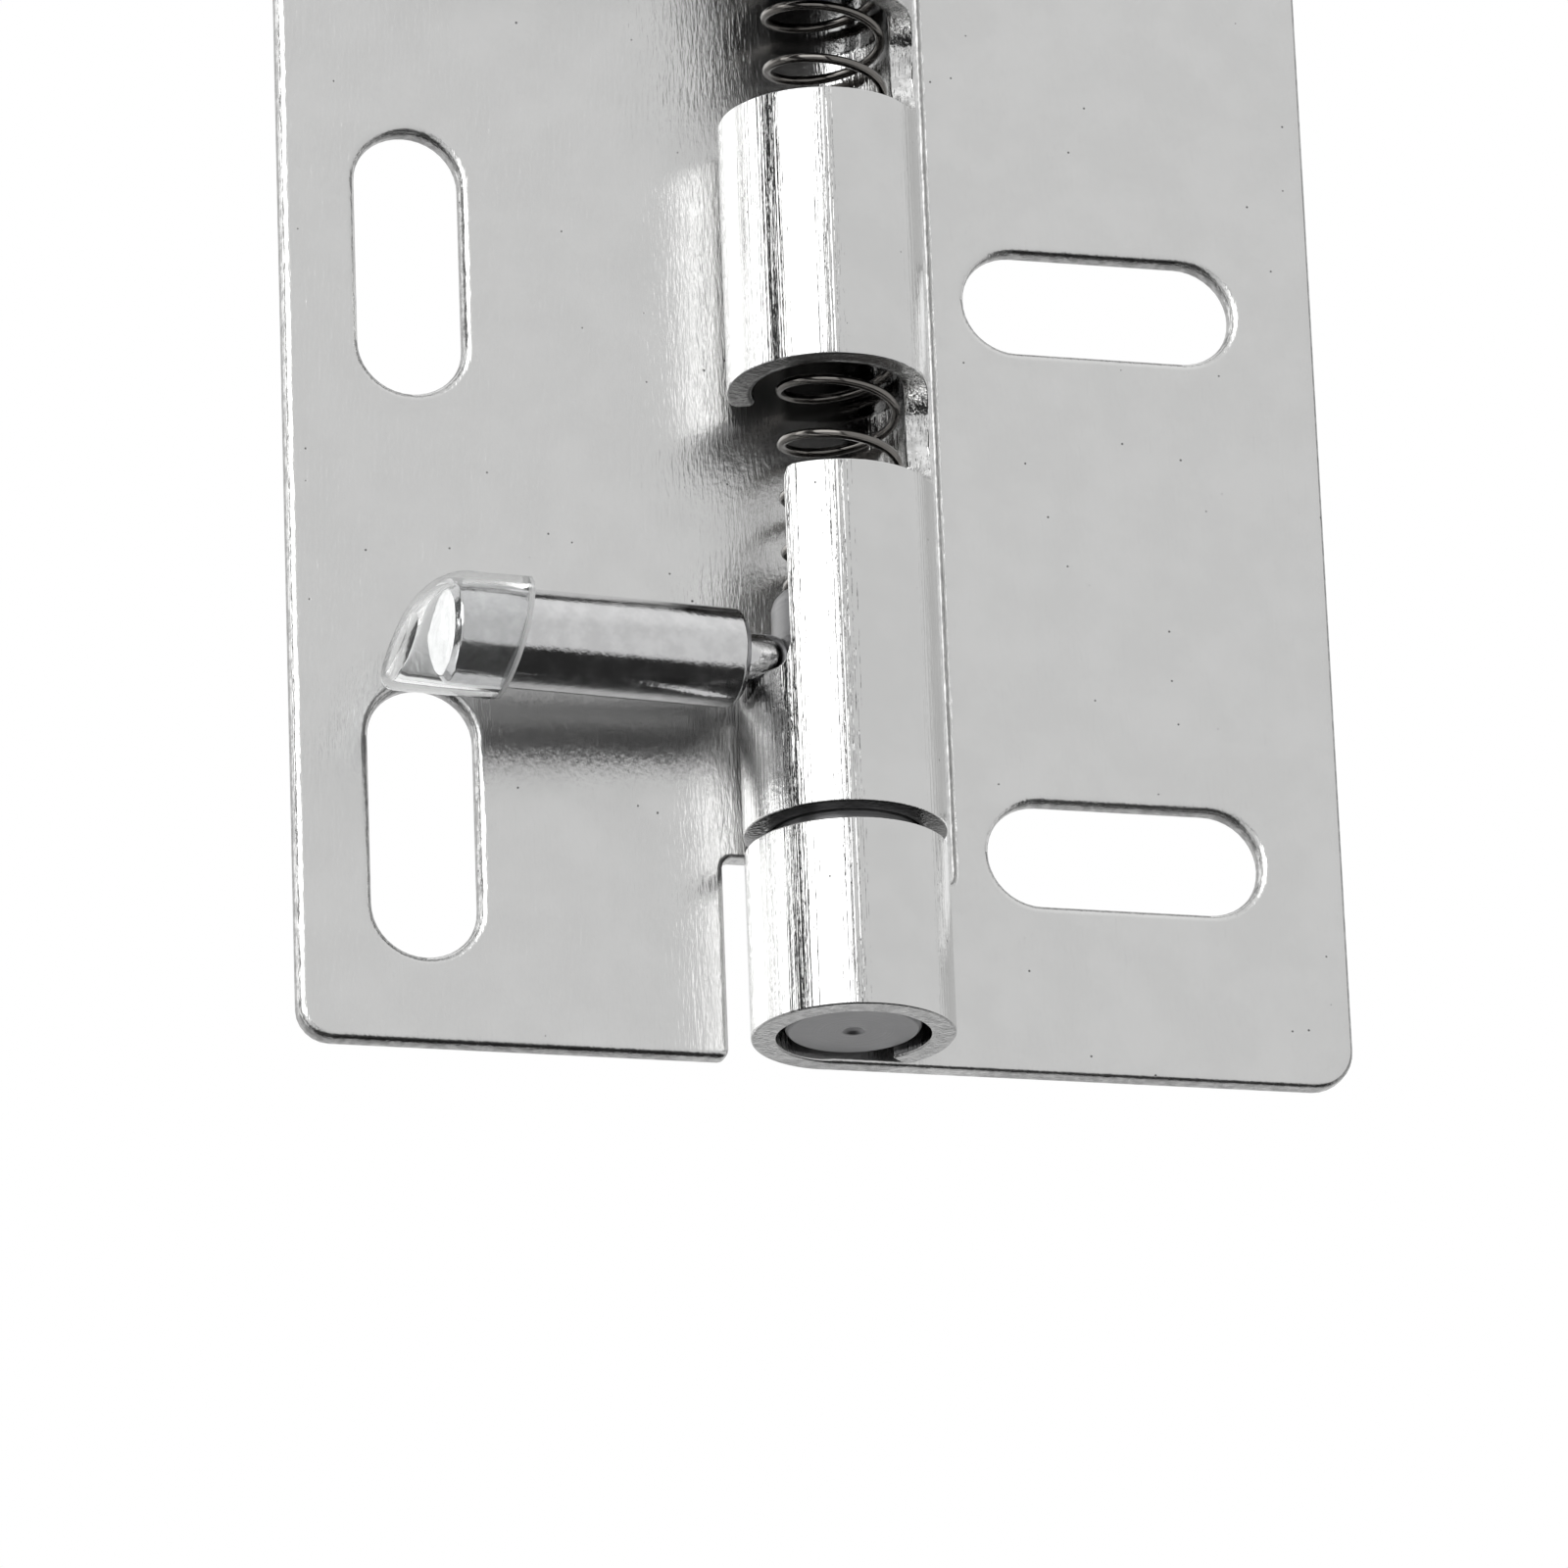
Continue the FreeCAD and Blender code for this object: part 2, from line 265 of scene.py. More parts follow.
def makePlating():
    # bright zinc on pressed sheet: brushed grain on the flats, drawn streaks on the rolled barrel
    material, tree, shader = newMaterial("platedSheet")
    place = addNode(tree, "ShaderNodeTexCoord").outputs["Object"]
    axes = addNode(tree, "ShaderNodeSeparateXYZ", {0: place}).outputs
    barrel = spread(tree, axes[1], *plating["barrelFront"])
    cloud = noise(tree, place, plating["cloudScale"], 4.0)
    grain = noise(tree, place, plating["grainScale"], 2.0)
    drawn = noise(tree, stretched(tree, place, plating["drawnStreaks"]), 1.0, 2.0)
    short = noise(tree, stretched(tree, place, plating["shortStreaks"]), 1.0, 3.0, 0.6)
    wide = noise(tree, stretched(tree, place, plating["wideStreaks"]), 1.0, 3.0)
    brushed = noise(tree, stretched(tree, place, plating["leafStreaks"]), 1.0, 2.0)
    cells = addNode(tree, "ShaderNodeTexVoronoi", {
        "Vector": place, "Scale": plating["pitScale"], "Randomness": 1.0,
    })
    cellTone = addNode(tree, "ShaderNodeSeparateColor", {0: cells.outputs["Color"]}).outputs[0]
    pit = times(tree, spread(tree, cells.outputs["Distance"], *plating["pitSize"]),
                mathNode(tree, "GREATER_THAN", cellTone, plating["pitFloor"]))
    shade, sheared, inBore = platingPaintedShade(tree, place, axes, pit)

    tone = mixedTone(tree, spread(tree, cloud, 0.35, 0.7), plating["dullColour"], plating["colour"])
    # the painted shade and painted highlight scale the plating's colour here
    shaded = addNode(tree, "ShaderNodeVectorMath", {0: tone, "Scale": shade}, operation="SCALE")
    tree.links.new(shaded.outputs[0], shader.inputs["Base Color"])

    flatRough = spread(tree, cloud, 0.3, 0.75, *plating["flatRough"])
    rollRough = spread(tree, wide, 0.35, 0.7, *plating["barrelRough"])
    tree.links.new(blend(tree, barrel, flatRough, rollRough), shader.inputs["Roughness"])
    shader.inputs["Metallic"].default_value = 1.0

    tall = plating["heights"]
    lines = heaped(tree, (drawn, tall["drawn"]), (wide, tall["wide"]), (short, tall["shortOnBarrel"]))
    height = heaped(tree, (grain, tall["grain"]), (times(tree, grain, sheared), tall["sheared"]),
                    (times(tree, lines, barrel), inverse(tree, inBore)), (short, tall["short"]),
                    (times(tree, brushed, inverse(tree, barrel)), tall["brushed"]), (pit, tall["pit"]))
    bump = addNode(tree, "ShaderNodeBump", {
        "Strength": plating["bumpStrength"], "Distance": plating["bumpDistance"], "Height": height,
    })
    tree.links.new(bump.outputs[0], shader.inputs["Normal"])
    return material


# axes are the two across the turning axis and the one along it
turnedFinishes = {
    "boltSteel": {
        # dark colour: partly the steel's own tone at the pin end, partly painted shade where the bolt shows in the
        # barrel's gaps
        "colour": (0.2, 0.2, 0.204), "rough": (0.30, 0.40), "axes": (0, 1, 2),
        "ringScale": 5200.0, "ringDepth": 0.8, "grainDepth": 0.3,
    },
    "handlePlating": {
        "colour": (0.74, 0.74, 0.745), "rough": (0.09, 0.19), "axes": (1, 2, 0),
        "ringScale": 3600.0, "ringDepth": 0.08, "grainDepth": 0.8,
    },
    "springSteel": {
        "colour": (0.21, 0.2, 0.188), "rough": (0.10, 0.20), "axes": (0, 1, 2),
        "ringScale": 1500.0, "ringDepth": 0.1, "grainDepth": 0.1,
    },
}
turnedSurface = {
    "grainScale": 2600.0,
    "mottleScale": 900.0,
    "dullShare": 0.88,        # of the colour, in the mottling
    "bumpDistance": 0.02 * mm,
}


def makeTurned(name):
    # turned steel: fine rings round the axis, a little mottling and grain
    finish = turnedFinishes[name]
    colour = finish["colour"]
    material, tree, shader = newMaterial(name)
    place = addNode(tree, "ShaderNodeTexCoord").outputs["Object"]
    axes = addNode(tree, "ShaderNodeSeparateXYZ", {0: place}).outputs
    first, second, along = (axes[index] for index in finish["axes"])
    ringPlace = addNode(tree, "ShaderNodeCombineXYZ", {
        0: times(tree, fromAxis(tree, first, second), finish["ringScale"]),
        1: times(tree, along, finish["ringScale"]),
    }).outputs[0]
    rings = noise(tree, ringPlace, 1.0, 2.0)
    grain = noise(tree, place, turnedSurface["grainScale"], 2.0)
    mottle = noise(tree, place, turnedSurface["mottleScale"], 3.0)
    dull = [turnedSurface["dullShare"] * part for part in colour]
    tone = mixedTone(tree, spread(tree, mottle, 0.35, 0.7), (*dull, 1.0), (*colour, 1.0))
    tree.links.new(tone, shader.inputs["Base Color"])
    tree.links.new(spread(tree, mottle, 0.3, 0.75, *finish["rough"]), shader.inputs["Roughness"])
    shader.inputs["Metallic"].default_value = 1.0
    height = heaped(tree, (rings, finish["ringDepth"]), (grain, finish["grainDepth"]))
    bump = addNode(tree, "ShaderNodeBump", {
        "Strength": 1.0, "Distance": turnedSurface["bumpDistance"], "Height": height,
    })
    tree.links.new(bump.outputs[0], shader.inputs["Normal"])
    return material


platedSheet = makePlating()
boltSteel = makeTurned("boltSteel")
handlePlating = makeTurned("handlePlating")
springSteel = makeTurned("springSteel")
print("metals made")


# leaves: a filled blank, its edge rolled round the pin axis, then given its thickness

def outlineLoop(bm, corners):
    # corners are (x, z, radius), the radius 0 where the corner stays sharp
    verts = [bm.verts.new((x, rolledSheet["backFace"], z)) for x, z, radius in corners]
    for first, second in zip(verts, verts[1:] + verts[:1]):
        bm.edges.new((first, second))
    for radius in sorted({corner[2] for corner in corners} - {0}):
        rounded = [vert for vert, corner in zip(verts, corners) if corner[2] == radius]
        bmesh.ops.bevel(bm, geom=rounded, offset=radius, offset_type="OFFSET", profile=0.5, material=-1,
                        segments=max(3, round(radius / rolledSheet["cornerStep"])), affect="VERTICES")


def slotLoop(bm, x, z, upright):
    halfWide = rolledSheet["slotWidth"] / 2
    halfLong = rolledSheet["slotLength"] / 2
    endRound = halfWide * 0.9999    # just short of the half, so that an end's two arcs don't cross
    halfX, halfZ = (halfWide, halfLong) if upright else (halfLong, halfWide)
    corners = [(x - halfX, z - halfZ), (x + halfX, z - halfZ), (x + halfX, z + halfZ), (x - halfX, z + halfZ)]
    outlineLoop(bm, [(cornerX, cornerZ, endRound) for cornerX, cornerZ in corners])


def fillBlank(bm):
    bmesh.ops.remove_doubles(bm, verts=bm.verts[:], dist=0.005 * mm)
    bmesh.ops.triangle_fill(bm, use_beauty=True, use_dissolve=False, edges=bm.edges[:], normal=(0, 1, 0))
    rim = {tuple(vert.co) for vert in bm.verts}
    strip = bmesh.ops.inset_region(bm, faces=bm.faces[:], use_boundary=True, use_even_offset=True,
                                   thickness=rolledSheet["edgeStrip"], depth=0)["faces"]
    strip = set(strip)
    bmesh.ops.delete(bm, geom=[face for face in bm.faces if face not in strip], context="FACES")
    border = [edge for edge in bm.edges if edge.is_boundary]
    inner = [edge for edge in border if not any(tuple(vert.co) in rim for vert in edge.verts)]
    bmesh.ops.triangle_fill(bm, use_beauty=True, use_dissolve=False, edges=inner, normal=(0, 1, 0))


def edgesOnLine(bm, low, high):
    chosen = []
    for edge in bm.edges:
        if all(abs(vert.co.x) < near and low - near < vert.co.z < high + near for vert in edge.verts):
            chosen.append(edge)
    return chosen


def rollOn(bm, edges, degrees):
    # carries the sheet's edge on round the pin axis, and gives back its new edge
    steps = max(2, math.ceil(abs(math.radians(degrees)) / rolledSheet["stepAngle"]))
    turned = bmesh.ops.spin(bm, geom=edges, cent=(0, 0, 0), axis=(0, 0, 1), dvec=(0, 0, 0),
                            angle=math.radians(degrees), steps=steps, use_merge=False)
    return [item for item in turned["geom_last"] if isinstance(item, bmesh.types.BMEdge)]


def edgeBetween(edge, low, high):
    middle = (edge.verts[0].co.z + edge.verts[1].co.z) / 2
    return low < abs(middle) < high


def easeCorner(bm, lineHeight, startAngle, radius, push, onward=1):
    # rounds a cut-out's corner by sliding the vertices of one cut line along the pin axis
    for vert in bm.verts:
        if abs(abs(vert.co.z) - lineHeight) > near:
            continue
        turned = onward * (startAngle - math.degrees(math.atan2(vert.co.y, vert.co.x))) % 360.0
        turned = turned if turned < 359.9 else 0.0    # the start line itself can come out as a full turn
        along = math.radians(turned) * rolledSheet["rollRadius"]
        if along < radius:
            lift = radius - math.sqrt(radius ** 2 - (radius - along) ** 2)
            vert.co.z += push * math.copysign(lift, vert.co.z)


def thicken(bm):
    bmesh.ops.recalc_face_normals(bm, faces=bm.faces[:])
    flat = max(bm.faces, key=lambda face: face.calc_area())
    if flat.normal.y < 0:
        bmesh.ops.reverse_faces(bm, faces=bm.faces[:])
    bmesh.ops.solidify(bm, geom=bm.faces[:], thickness=rolledSheet["thickness"])


def roundLip(bm, angle, steps):
    # swells the sheet's free end into the blunt nose that the roller leaves
    outward = Vector((math.cos(math.radians(angle)), math.sin(math.radians(angle)), 0))
    forward = Vector((outward.y, -outward.x, 0))
    middle = rolledSheet["rollRadius"] - rolledSheet["thickness"] / 2
    ends = []
    for face in bm.faces:
        place = face.calc_center_median()
        atEnd = place.dot(outward) > middle * 0.9 and abs(place.dot(forward)) < 0.3 * mm
        if atEnd and face.normal.dot(forward) > 0.9:
            ends.append(face)
    for advance, keep in steps:
        grown = bmesh.ops.extrude_face_region(bm, geom=ends)
        bmesh.ops.delete(bm, geom=ends, context="FACES_ONLY")
        ends = [item for item in grown["geom"] if isinstance(item, bmesh.types.BMFace)]
        for vert in {vert for face in ends for vert in face.verts}:
            reach = vert.co.dot(outward)
            vert.co += forward * advance + outward * ((middle + (reach - middle) * keep) - reach)


def weighCutEdges(bm):
    # marks the sheet's cut edges for rounding, the flat leaf's fully and the barrel's lightly
    weight = bm.edges.layers.float.new("bevel_weight_edge")
    for edge in bm.edges:
        if len(edge.link_faces) == 2 and edge.calc_face_angle(0) > math.radians(rolledSheet["cutAngle"]):
            onLeaf = all(abs(vert.co.x) > rolledSheet["rollRadius"] for vert in edge.verts)
            edge[weight] = 1.0 if onLeaf else rolledSheet["rollEdgeShare"]


def markSheared(bm):
    # marks the faces across the sheet's thickness, where the material paints shade and highlight
    sheared = bm.faces.layers.float.new("sheared")
    for face in bm.faces:
        middle = face.calc_center_median()
        across = Vector((middle.x, middle.y, 0)).normalized()
        if abs(middle.x) > rolledSheet["rollRadius"]:
            across = Vector((0, 1, 0))
        face[sheared] = 1.0 if abs(face.normal.dot(across)) < 0.5 else 0.0


def finishLeaf(bm, name, node):
    bmesh.ops.recalc_face_normals(bm, faces=bm.faces[:])
    weighCutEdges(bm)
    markSheared(bm)
    piece = addPiece(name, meshFrom(bm, name), node, node, platedSheet)
    roundEdges(piece, rolledSheet["edgeRound"], rolledSheet["edgeSegments"])


leftLeaf = {
    "cornerRadius": 2.0 * mm,
    "notchGap": 0.3 * mm,
    "notchRadius": 0.6 * mm,
    "slotX": -24.6 * mm,
    "barrelHalf": 37.3 * mm,
    "knuckleHalf": 8.75 * mm,
    "windowEnd": 15.5 * mm,
    "studSlotEnd": 28.25 * mm,
    "wallTurn": 95.0,         # wall left standing behind the windows
    "studTurn": 128.5,        # from there to the handle's open slot
    "lipTurn": 76.5,
    "windowCorner": 3.3 * mm,
    "tabCorner": 0.8 * mm,
    "slotCorner": 1.2 * mm,
    "lipSteps": ((0.32 * mm, 0.8), (0.2 * mm, 0.4)),
}


def makeLeftLeaf():
    size = leftLeaf
    bm = bmesh.new()
    top = leftHigh.z
    notchX = -rolledSheet["rollRadius"] - size["notchGap"]
    heights = [size["barrelHalf"], size["studSlotEnd"], size["windowEnd"], size["knuckleHalf"]]
    rollLine = [-height for height in heights] + heights[::-1]
    outlineLoop(bm, [
        (leftLow.x, -top, size["cornerRadius"]), (notchX, -top, 0),
        (notchX, -size["barrelHalf"], size["notchRadius"]),
        *[(0, z, 0) for z in rollLine],
        (notchX, size["barrelHalf"], size["notchRadius"]),
        (notchX, top, 0), (leftLow.x, top, size["cornerRadius"]),
    ])
    for row in (-1, 0, 1):
        slotLoop(bm, size["slotX"], row * rolledSheet["slotPitch"], True)
    fillBlank(bm)

    front = rollOn(bm, edgesOnLine(bm, -size["barrelHalf"], size["barrelHalf"]), -size["wallTurn"])
    front = [edge for edge in front if not edgeBetween(edge, size["knuckleHalf"], size["windowEnd"])]
    side = rollOn(bm, front, -size["studTurn"])
    side = [edge for edge in side if not edgeBetween(edge, size["windowEnd"], size["studSlotEnd"])]
    rollOn(bm, side, -size["lipTurn"])
    wallAngle = 90.0 - size["wallTurn"]
    studAngle = wallAngle - size["studTurn"]
    lipAngle = studAngle - size["lipTurn"]
    easeCorner(bm, size["knuckleHalf"], wallAngle, size["windowCorner"], 1)
    easeCorner(bm, size["windowEnd"], wallAngle, size["windowCorner"], -1)
    easeCorner(bm, size["windowEnd"], studAngle, size["tabCorner"], 1, -1)
    easeCorner(bm, size["studSlotEnd"], studAngle, size["slotCorner"], -1)
    thicken(bm)
    roundLip(bm, lipAngle, size["lipSteps"])
    finishLeaf(bm, "leftLeafSheet", "left_leaf")


rightLeaf = {
    "cornerRadius": 2.5 * mm,
    "notchGap": 1.8 * mm,
    "notchRadius": 0.6 * mm,
    "slotX": 18.7 * mm,
    "knuckleStart": 38.3 * mm,
    "lipTurn": 314.8,
}


def makeRightLeaf():
    size = rightLeaf
    bm = bmesh.new()
    top = rightHigh.z
    start = size["knuckleStart"]
    notchX = rolledSheet["rollRadius"] + size["notchGap"]
    outlineLoop(bm, [
        (0, -top, 0), (rightHigh.x, -top, size["cornerRadius"]),
        (rightHigh.x, top, size["cornerRadius"]), (0, top, 0),
        (0, start, 0), (notchX, start, size["notchRadius"]),
        (notchX, -start, size["notchRadius"]), (0, -start, 0),
    ])
    for row in (-1, 0, 1):
        slotLoop(bm, size["slotX"], row * rolledSheet["slotPitch"], False)
    fillBlank(bm)
    rollOn(bm, edgesOnLine(bm, -top, top), size["lipTurn"])
    thicken(bm)
    finishLeaf(bm, "rightLeafSheet", "right_leaf")


makeLeftLeaf()
makeRightLeaf()
print("leaves rolled")


# turned pieces: an open profile spun round its axis

def spunPiece(profile, axis, steps):
    bm = bmesh.new()
    verts = [bm.verts.new(point) for point in profile]
    edges = [bm.edges.new(pair) for pair in zip(verts, verts[1:])]
    bmesh.ops.spin(bm, geom=verts + edges, cent=axis[0], axis=axis[1], dvec=(0, 0, 0),
                   angle=2 * math.pi, steps=steps, use_merge=True)
    bmesh.ops.remove_doubles(bm, verts=bm.verts[:], dist=0.004 * mm)
    bmesh.ops.dissolve_degenerate(bm, edges=bm.edges[:], dist=0.001 * mm)
    bmesh.ops.recalc_face_normals(bm, faces=bm.faces[:])
    return bm


bolt = {
    "noseStep": 0.47 * mm,
    "noseTaper": 2.0 * mm,
    "noseEdge": 0.2 * mm,
    "markRadius": 0.7 * mm,
    "markDepth": 0.5 * mm,
    "neckStep": 0.57 * mm,
    "neckStart": -29.8 * mm,
    "headStep": 0.45 * mm,
    "headTaper": 0.9 * mm,
    "headCurve": ((0.0, 1.0), (0.35, 0.42), (1.0, 0.0556), (1.6, 0.0)),   # shares of the step and the taper
    "steps": 72,
    "edgeRound": 0.07 * mm,
    "edgeAngle": 25,
}


def makeBolt(side, name):
    # side is 1 for the lower bolt and -1 for its twin above
    guide = boltHigh.x
    neck = guide - bolt["neckStep"]
    nose = guide - bolt["noseStep"]
    end, top = boltLow.z, boltHigh.z
    profile = [
        (0, end + bolt["markDepth"]), (bolt["markRadius"], end), (nose - bolt["noseEdge"], end),
        (nose, end + bolt["noseEdge"]), (guide, end + bolt["noseTaper"]),
        (guide, bolt["neckStart"] - bolt["neckStep"]), (neck, bolt["neckStart"]),
    ]
    for inward, down in bolt["headCurve"]:
        profile.append((neck - bolt["headStep"] * inward, top - bolt["headTaper"] * down))
    profile.append((0, top))
    bm = spunPiece([(radius, 0, side * z) for radius, z in profile], ((0, 0, 0), (0, 0, 1)), bolt["steps"])
    level = name[:5]
    piece = addPiece(name, meshFrom(bm, name), level + "_bolt", level + "_bolt", boltSteel)
    roundEdges(piece, bolt["edgeRound"], 2, bolt["edgeAngle"])


handle = {
    "turn": 4.965,            # degrees towards the viewer, which brings the cap level with the barrel
    "tenonTip": 1.35 * mm,
    "tenonRadius": 1.1 * mm,
    "noseStart": 3.65 * mm,
    "noseLength": 1.0 * mm,
    "studRadius": 1.6 * mm,
    "shoulder": 6.4 * mm,
    "end": 25.0 * mm,
    "chamfer": 0.42 * mm,
    "noseSteps": 6,
    "steps": 64,
    "edgeRound": 0.1 * mm,
    "edgeAngle": 35,
}


def turnToSlot(bm):
    turn = Matrix.Rotation(math.radians(handle["turn"]), 3, "Z")
    bmesh.ops.rotate(bm, verts=bm.verts[:], cent=(0, 0, 0), matrix=turn)


def makeHandle(side, name):
    height = side * (handleLow.z + handleHigh.z) / 2
    radius = (handleHigh.z - handleLow.z) / 2
    chamfer = handle["chamfer"]
    stud, tenon, nose = handle["studRadius"], handle["tenonRadius"], handle["noseLength"]
    profile = [(handle["tenonTip"], 0), (handle["tenonTip"], tenon)]
    for step in range(handle["noseSteps"] + 1):
        swing = math.pi / 2 * step / handle["noseSteps"]
        along = handle["noseStart"] + nose * (1 - math.cos(swing))
        profile.append((along, tenon + (stud - tenon) * math.sin(swing)))
    profile += [
        (handle["shoulder"], stud), (handle["shoulder"], radius - chamfer), (handle["shoulder"] + chamfer, radius),
        (handle["end"] - chamfer, radius), (handle["end"], radius - chamfer), (handle["end"], 0),
    ]
    points = [(-x, 0, height + reach) for x, reach in profile]
    bm = spunPiece(points, ((0, 0, height), (1, 0, 0)), handle["steps"])
    turnToSlot(bm)
    level = name[:5]
    piece = addPiece(name, meshFrom(bm, name), level + "_bolt", level + "_handle", handlePlating)
    roundEdges(piece, handle["edgeRound"], 3, handle["edgeAngle"])


gripCap = {
    "wall": 0.7 * mm,
    "mouth": 20.5 * mm,       # on the handle's axis
    "mouthSlant": 12.0,
    "endAtTop": 26.2 * mm,
    "endSlant": 18.5,
    "endRound": 2.9 * mm,     # at the top, and less towards the pointed bottom
    "bottomShare": 0.3,
    "roundSegments": 7,
    "tube": 30.0 * mm,        # cut from a tube of this length
    "sides": 72,
    "rimWidth": 0.3 * mm,
    "colour": (0.95, 0.955, 0.955, 1.0),
    "refraction": 1.07,
    "clearness": (0.97, 0.45),    # of the wall and of the cut rim, made paler as a painted highlight
    "rough": (0.02, 0.07),
    "rippleScale": 420.0,
}


def makeClearVinyl():
    # clear and soft, a little cloudy, with the cut rim at the mouth paler: a painted highlight
    material, tree, shader = newMaterial("clearVinyl")
    place = addNode(tree, "ShaderNodeTexCoord").outputs["Object"]
    axes = addNode(tree, "ShaderNodeSeparateXYZ", {0: place}).outputs
    turn, slant = math.radians(handle["turn"]), math.radians(gripCap["mouthSlant"])
    height = -(capLow.z + capHigh.z) / 2
    along = heaped(tree, (axes[0], math.cos(turn)), (axes[1], math.sin(turn)))
    rise = mathNode(tree, "SUBTRACT", height, mathNode(tree, "ABSOLUTE", axes[2]))
    pastMouth = mathNode(tree, "ADD", along, gripCap["mouth"])
    fromMouth = heaped(tree, (pastMouth, math.cos(slant)), (rise, -math.sin(slant)))
    rim = spread(tree, mathNode(tree, "ABSOLUTE", fromMouth), gripCap["rimWidth"], gripCap["rimWidth"] * 0.5)
    ripple = noise(tree, place, gripCap["rippleScale"], 2.0)
    shader.inputs["Base Color"].default_value = gripCap["colour"]
    shader.inputs["IOR"].default_value = gripCap["refraction"]
    # painted highlight: the cut rim lets less light through, so it shows paler
    tree.links.new(spread(tree, rim, 0.0, 1.0, *gripCap["clearness"]), shader.inputs["Transmission Weight"])
    tree.links.new(spread(tree, ripple, 0.3, 0.7, *gripCap["rough"]), shader.inputs["Roughness"])
    bump = addNode(tree, "ShaderNodeBump", {"Strength": 0.1, "Distance": 0.06 * mm, "Height": ripple})
    tree.links.new(bump.outputs[0], shader.inputs["Normal"])
    return material


clearVinyl = makeClearVinyl()


def makeGripCap(side, name):
    # a tube cut off at a slant at both ends, closed and rounded at the far one, then given its wall
    height = side * (capLow.z + capHigh.z) / 2
    radius = (capHigh.z - capLow.z) / 2
    bm = bmesh.new()
    weight = bm.edges.layers.float.new("bevel_weight_edge")
    bmesh.ops.create_cone(bm, cap_ends=False, segments=gripCap["sides"], radius1=radius, radius2=radius,
                          depth=gripCap["tube"])
    bmesh.ops.rotate(bm, verts=bm.verts[:], cent=(0, 0, 0), matrix=Matrix.Rotation(math.pi / 2, 3, "Y"))
    bmesh.ops.translate(bm, verts=bm.verts[:], vec=(-gripCap["mouth"], 0, height))
    cuts = (
        (gripCap["mouth"], 0, gripCap["mouthSlant"], -1),
        (gripCap["endAtTop"], side * radius, gripCap["endSlant"], 1),
    )
    for along, above, slant, outward in cuts:
        slant = math.radians(slant)
        away = Vector((-math.cos(slant), 0, side * math.sin(slant))) * outward
        cut = bmesh.ops.bisect_plane(bm, geom=bm.verts[:] + bm.edges[:] + bm.faces[:], dist=0.001 * mm,
                                     plane_co=(-along, 0, height + above), plane_no=away, clear_outer=True)
    endLoop = [item for item in cut["geom_cut"] if isinstance(item, bmesh.types.BMEdge)]
    bmesh.ops.edgeloop_fill(bm, edges=endLoop)
    bmesh.ops.recalc_face_normals(bm, faces=bm.faces[:])
    topFace = max(bm.faces, key=lambda face: side * face.calc_center_median().z)
    if topFace.normal.z * side < 0:
        bmesh.ops.reverse_faces(bm, faces=bm.faces[:])
    for edge in endLoop:
        middle = (edge.verts[0].co.z + edge.verts[1].co.z) / 2
        rise = (side * (middle - height) / radius + 1) / 2
        edge[weight] = gripCap["bottomShare"] + (1 - gripCap["bottomShare"]) * rise
    turnToSlot(bm)
    level = name[:5]
    piece = addPiece(name, meshFrom(bm, name), level + "_bolt", level + "_grip_cap", clearVinyl)
    roundEdges(piece, gripCap["endRound"], gripCap["roundSegments"])
    wall = piece.modifiers.new("wall", "SOLIDIFY")
    wall.thickness = gripCap["wall"]
    wall.offset = -1.0


for side, level in ((1, "lower"), (-1, "upper")):
    makeBolt(side, level + "BoltTurned")
    makeHandle(side, level + "HandleTurned")
    makeGripCap(side, level + "GripCapClear")
print("bolts, handles and caps made")


spring = {
    "wire": 0.3 * mm,
    "halfSpan": 21.78 * mm,   # from mid length to the middle of the end turn's wire
    "closedRise": 0.68 * mm,
    "openTurns": 6,
    "stepsPerTurn": 48,
    "startTurn": math.radians(20.0),
    "sides": 12,
    "travel": 15.8 * mm,
}


def makeSpringHalf(side, name):
    # half of the one spring, wound left-handed from mid length: open coils, then a closed end turn
    radius = (springHigh.x - springLow.x) / 2 - spring["wire"]
    middle = ((springHigh.x + springLow.x) / 2, 0, 0)
    openRise = (spring["halfSpan"] - spring["closedRise"]) / spring["openTurns"]
    bm = bmesh.new()
    section = bmesh.ops.create_circle(bm, cap_ends=True, radius=spring["wire"], segments=spring["sides"])["verts"]
    bmesh.ops.rotate(bm, verts=section, cent=(0, 0, 0), matrix=Matrix.Rotation(math.pi / 2, 3, "X"))
    bmesh.ops.translate(bm, verts=section, vec=(radius, 0, 0))
    bmesh.ops.rotate(bm, verts=section, cent=(0, 0, 0), matrix=Matrix.Rotation(spring["startTurn"], 3, "Z"))
    bmesh.ops.translate(bm, verts=section, vec=middle)
    tip = bm.faces[:]
    for turns, rise in ((spring["openTurns"], openRise), (1, spring["closedRise"])):
        climb = (0, 0, -side * rise / spring["stepsPerTurn"])
        wound = bmesh.ops.spin(bm, geom=tip, cent=middle, axis=(0, 0, 1), angle=side * 2 * math.pi * turns,
                               steps=turns * spring["stepsPerTurn"], dvec=climb, use_merge=False)
        tip = [item for item in wound["geom_last"] if isinstance(item, bmesh.types.BMFace)]
    bmesh.ops.remove_doubles(bm, verts=bm.verts[:], dist=0.002 * mm)
    bmesh.ops.recalc_face_normals(bm, faces=bm.faces[:])
    piece = addPiece(name, meshFrom(bm, name), "left_leaf", "bolt_spring", springSteel)
    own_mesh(piece)


makeSpringHalf(1, "lowerSpringCoils")
makeSpringHalf(-1, "upperSpringCoils")
print("spring wound")


# stage, light and camera

stage = {
    "backdropY": 1.1,
    "floorZ": -0.42,
    "floorFront": 0.14,       # the pale table ends just behind the hinge, and the room below it is dim
    "width": 5.0,
    "height": 4.0,
    "colour": (0.86, 0.86, 0.86, 1.0),
    "floorColour": (0.80, 0.80, 0.80, 1.0),
}


